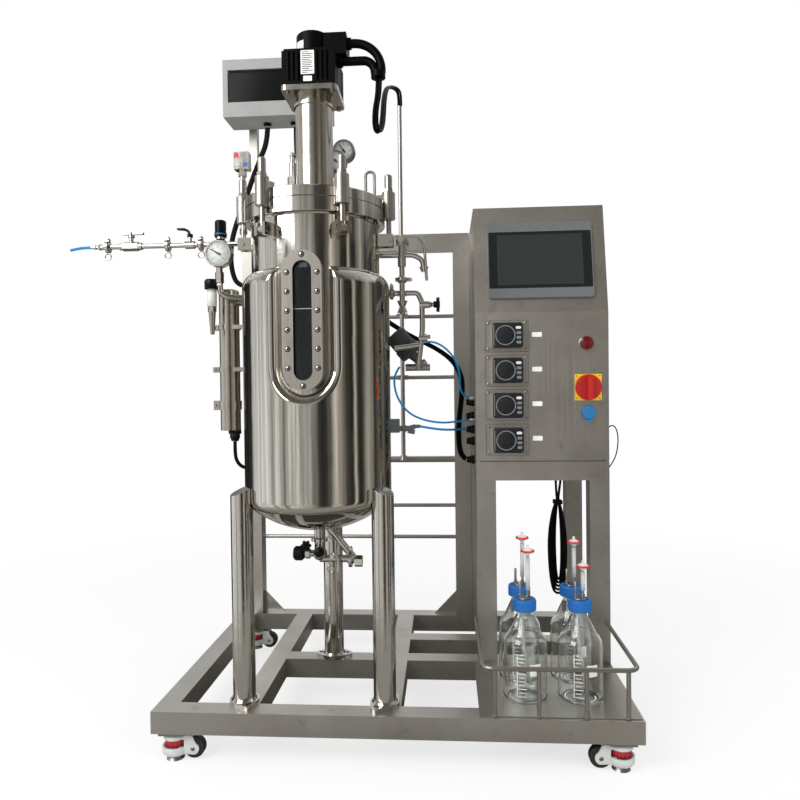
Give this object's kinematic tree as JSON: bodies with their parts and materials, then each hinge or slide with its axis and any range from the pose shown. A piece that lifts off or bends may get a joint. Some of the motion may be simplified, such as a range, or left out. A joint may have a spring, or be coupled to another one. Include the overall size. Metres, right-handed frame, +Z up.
{
  "type": "bench bioreactor",
  "caption": "Skid-mounted stirred-tank fermenter: jacketed steel vessel with long sight glass, top motor drive, breaker box, dosing-pump cabinet with touch panel and feed bottles",
  "frame": {"origin": "on the floor at the centre of the skid's footprint", "axes": "X to the operator's right, towards the control cabinet; Y to the back; Z up"},
  "size_m": [1.3718, 0.7445, 1.829],
  "materials": {
    "satin_steel": "fine satin ground stainless",
    "frame_steel": "brushed square tube",
    "mirror_steel": "mirror polished stainless",
    "bright_rod": "bright drawn rod and pipe",
    "zinc_steel": "zinc plated",
    "castor_grey": "moulded housing",
    "castor_tyre": "hard tread",
    "black_paint": "satin black",
    "seal_white": "silicone seal",
    "box_grey": "light grey enclosure",
    "smoked_flap": "smoked clear flap",
    "dark_glass": "thick dark looking glass",
    "knob_black": "moulded black",
    "actuator_grey": "dark grey housings",
    "screen_black": "glass fronted panel",
    "pump_steel": "brushed face plate, smoked window",
    "rotor_grey": "roller head",
    "button_mix": "coloured lamp and buttons",
    "switch_red": "red rotary handle",
    "clear_glass": "clear laboratory glass",
    "cap_blue": "ribbed blue cap",
    "cable_black": "black jacket",
    "cable_grey": "grey jacket",
    "tube_clear": "translucent hose"
  },
  "bodies": {
    "frame": {"skid_frame": "frame_steel", "bottle_tray": "satin_steel", "rear_portal": "frame_steel", "levelling_feet": "zinc_steel", "vessel_shell": "mirror_steel", "vessel_jacket": "mirror_steel", "sight_frame": "satin_steel", "sight_glass": "dark_glass", "vessel_legs": "frame_steel", "lid_plate": "mirror_steel", "lid_gasket": "seal_white", "drive_column": "satin_steel", "motor_body": "black_paint", "vessel_internals": "satin_steel", "lid_fittings": "satin_steel", "breaker_box": "box_grey", "air_line": "bright_rod", "jacket_heater": "satin_steel", "right_pipework": "bright_rod", "valve_actuators": "actuator_grey", "bottom_valves": "satin_steel", "cabinet_shell": "satin_steel", "hmi_panel": "screen_black", "pump_heads": "pump_steel", "cabinet_fittings": "button_mix", "bottles": "clear_glass", "bottle_caps": "cap_blue", "motor_cables": "cable_black", "breaker_hose": "cable_grey", "sensor_cable": "cable_black", "cable_bundle": "cable_black", "instrument_tube": "tube_clear", "air_tube": "tube_clear", "cable_hank": "cable_black"},
    "agitator": {"agitator": "mirror_steel"},
    "swing_clamp_1": {"swing_clamp_1": "satin_steel"},
    "swing_clamp_2": {"swing_clamp_2": "satin_steel"},
    "swing_clamp_3": {"swing_clamp_3": "satin_steel"},
    "swing_clamp_4": {"swing_clamp_4": "satin_steel"},
    "swing_clamp_5": {"swing_clamp_5": "satin_steel"},
    "swing_clamp_6": {"swing_clamp_6": "satin_steel"},
    "castor_front_left": {"castor_housing_front_left": "castor_grey"},
    "wheel_front_left": {"castor_wheel_front_left": "castor_tyre"},
    "castor_front_right": {"castor_housing_front_right": "castor_grey"},
    "wheel_front_right": {"castor_wheel_front_right": "castor_tyre"},
    "castor_rear_left": {"castor_housing_rear_left": "castor_grey"},
    "wheel_rear_left": {"castor_wheel_rear_left": "castor_tyre"},
    "castor_rear_right": {"castor_housing_rear_right": "castor_grey"},
    "wheel_rear_right": {"castor_wheel_rear_right": "castor_tyre"},
    "breaker_door": {"breaker_door": "smoked_flap"},
    "pump_rotor_1": {"pump_rotor_1": "rotor_grey"},
    "pump_rotor_2": {"pump_rotor_2": "rotor_grey"},
    "pump_rotor_3": {"pump_rotor_3": "rotor_grey"},
    "pump_rotor_4": {"pump_rotor_4": "rotor_grey"},
    "main_switch": {"main_switch": "switch_red"},
    "air_valve_lever": {"air_valve_lever": "bright_rod"},
    "lever_handle": {"lever_handle": "knob_black"},
    "regulator_knob": {"regulator_knob": "knob_black"},
    "valve_handwheel": {"valve_handwheel": "knob_black"},
    "sample_knob": {"sample_knob": "knob_black"}
  },
  "joints": [
    {"name": "agitator_turn", "type": "hinge", "parent": "frame", "child": "agitator", "pos_m": [-0.181, -0.211, 1], "axis": [0, 0, 1], "continuous": true},
    {"name": "swing_clamp_1_turn", "type": "hinge", "parent": "frame", "child": "swing_clamp_1", "pos_m": [-0.0935, -0.36255, 1.178], "axis": [0.866, 0.5, 0], "range_deg": [0, 95]},
    {"name": "swing_clamp_2_turn", "type": "hinge", "parent": "frame", "child": "swing_clamp_2", "pos_m": [-0.006, -0.211, 1.178], "axis": [0, 1, 0], "range_deg": [0, 95]},
    {"name": "swing_clamp_3_turn", "type": "hinge", "parent": "frame", "child": "swing_clamp_3", "pos_m": [-0.0935, -0.05945, 1.178], "axis": [-0.866, 0.5, 0], "range_deg": [0, 95]},
    {"name": "swing_clamp_4_turn", "type": "hinge", "parent": "frame", "child": "swing_clamp_4", "pos_m": [-0.2685, -0.05945, 1.178], "axis": [-0.866, -0.5, 0], "range_deg": [0, 95]},
    {"name": "swing_clamp_5_turn", "type": "hinge", "parent": "frame", "child": "swing_clamp_5", "pos_m": [-0.356, -0.211, 1.178], "axis": [0, -1, 0], "range_deg": [0, 95]},
    {"name": "swing_clamp_6_turn", "type": "hinge", "parent": "frame", "child": "swing_clamp_6", "pos_m": [-0.2685, -0.36255, 1.178], "axis": [0.866, -0.5, 0], "range_deg": [0, 95]},
    {"name": "castor_front_left_turn", "type": "hinge", "parent": "frame", "child": "castor_front_left", "pos_m": [-0.495, -0.33, 0.03], "axis": [0, 0, 1], "continuous": true},
    {"name": "wheel_front_left_turn", "type": "hinge", "parent": "castor_front_left", "child": "wheel_front_left", "pos_m": [-0.45, -0.33, 0.027], "axis": [0, 1, 0], "continuous": true},
    {"name": "castor_front_right_turn", "type": "hinge", "parent": "frame", "child": "castor_front_right", "pos_m": [0.495, -0.33, 0.03], "axis": [0, 0, 1], "continuous": true},
    {"name": "wheel_front_right_turn", "type": "hinge", "parent": "castor_front_right", "child": "wheel_front_right", "pos_m": [0.45, -0.33, 0.027], "axis": [0, 1, 0], "continuous": true},
    {"name": "castor_rear_left_turn", "type": "hinge", "parent": "frame", "child": "castor_rear_left", "pos_m": [-0.495, 0.33, 0.03], "axis": [0, 0, 1], "continuous": true},
    {"name": "wheel_rear_left_turn", "type": "hinge", "parent": "castor_rear_left", "child": "wheel_rear_left", "pos_m": [-0.45, 0.33, 0.027], "axis": [0, 1, 0], "continuous": true},
    {"name": "castor_rear_right_turn", "type": "hinge", "parent": "frame", "child": "castor_rear_right", "pos_m": [0.495, 0.33, 0.03], "axis": [0, 0, 1], "continuous": true},
    {"name": "wheel_rear_right_turn", "type": "hinge", "parent": "castor_rear_right", "child": "wheel_rear_right", "pos_m": [0.45, 0.33, 0.027], "axis": [0, 1, 0], "continuous": true},
    {"name": "breaker_door_turn", "type": "hinge", "parent": "frame", "child": "breaker_door", "pos_m": [-0.38, 0.22, 1.792], "axis": [-1, 0, 0], "range_deg": [0, 100]},
    {"name": "pump_rotor_1_turn", "type": "hinge", "parent": "frame", "child": "pump_rotor_1", "pos_m": [0.276, -0.063, 0.961], "axis": [0, 1, 0], "continuous": true},
    {"name": "pump_rotor_2_turn", "type": "hinge", "parent": "frame", "child": "pump_rotor_2", "pos_m": [0.276, -0.063, 0.872], "axis": [0, 1, 0], "continuous": true},
    {"name": "pump_rotor_3_turn", "type": "hinge", "parent": "frame", "child": "pump_rotor_3", "pos_m": [0.276, -0.063, 0.783], "axis": [0, 1, 0], "continuous": true},
    {"name": "pump_rotor_4_turn", "type": "hinge", "parent": "frame", "child": "pump_rotor_4", "pos_m": [0.276, -0.063, 0.694], "axis": [0, 1, 0], "continuous": true},
    {"name": "main_switch_turn", "type": "hinge", "parent": "frame", "child": "main_switch", "pos_m": [0.4875, -0.0543, 0.827], "axis": [0, -1, 0], "range_deg": [0, 90]},
    {"name": "air_valve_lever_turn", "type": "hinge", "parent": "frame", "child": "air_valve_lever", "pos_m": [-0.671, -0.13, 1.2213], "axis": [0, 0, 1], "range_deg": [0, 90]},
    {"name": "lever_handle_turn", "type": "hinge", "parent": "frame", "child": "lever_handle", "pos_m": [-0.518, -0.13, 1.2183], "axis": [0, 0, 1], "range_deg": [0, 90]},
    {"name": "regulator_knob_turn", "type": "hinge", "parent": "frame", "child": "regulator_knob", "pos_m": [-0.439, -0.13, 1.2163], "axis": [0, 0, 1], "range_deg": [-180, 180]},
    {"name": "valve_handwheel_turn", "type": "hinge", "parent": "frame", "child": "valve_handwheel", "pos_m": [0.0963, -0.15, 1.034], "axis": [1, 0, 0], "range_deg": [0, 360]},
    {"name": "sample_knob_turn", "type": "hinge", "parent": "frame", "child": "sample_knob", "pos_m": [-0.2173, -0.211, 0.436], "axis": [1, 0, 0], "range_deg": [0, 360]}
  ]
}
